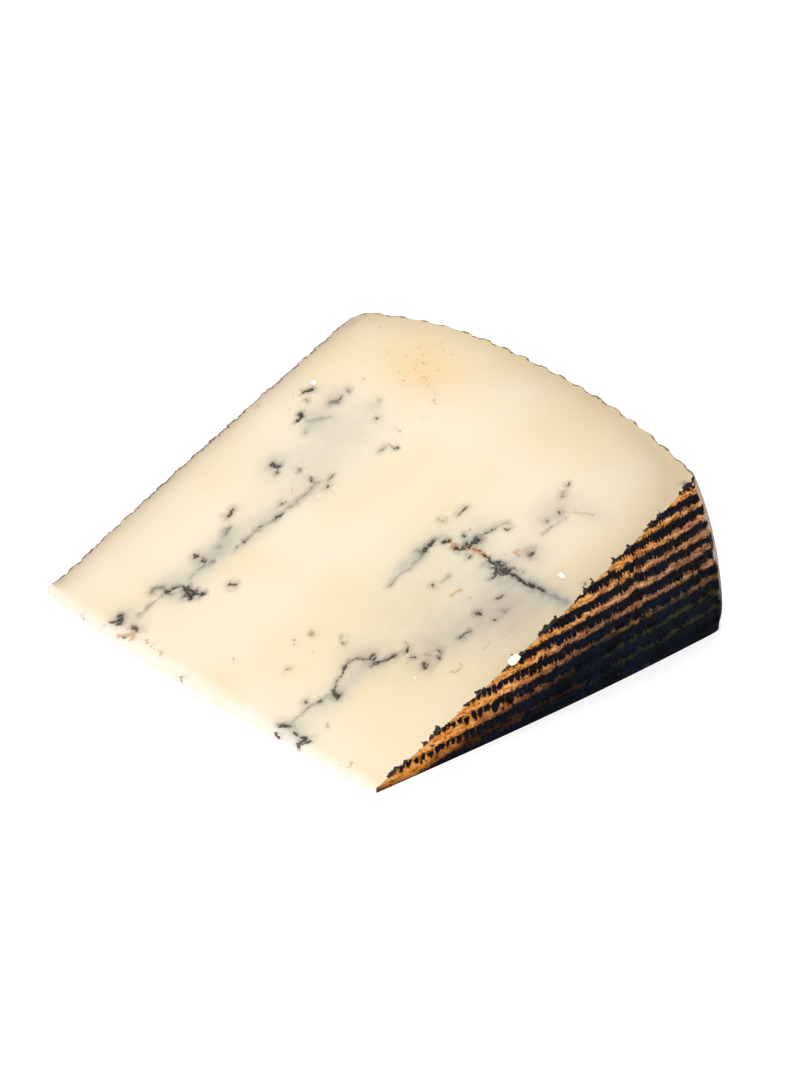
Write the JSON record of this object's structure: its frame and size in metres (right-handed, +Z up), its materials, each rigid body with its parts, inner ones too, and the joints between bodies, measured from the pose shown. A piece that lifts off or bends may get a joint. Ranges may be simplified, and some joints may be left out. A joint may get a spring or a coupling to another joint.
{
  "type": "sheep milk cheese wedge",
  "caption": "Wedge of blue-veined sheep's milk cheese with a mat-printed rind, lying on a cut face.",
  "frame": {"origin": "middle of the underside, on the surface that the wedge lies on", "axes": "+X along the wheel's axis, towards the striped flat face; +Y from the blunt tip out to the side of the wheel; +Z up"},
  "size_m": [0.1014, 0.0962, 0.0385],
  "materials": {
    "paste": "soft ivory paste, slightly moist, with blue-green mould veins",
    "rind": "tan ridges and blue-black mould grooves, satin to glossy"
  },
  "bodies": {
    "root": {"cheese_wedge": "paste"}
  },
  "joints": []
}
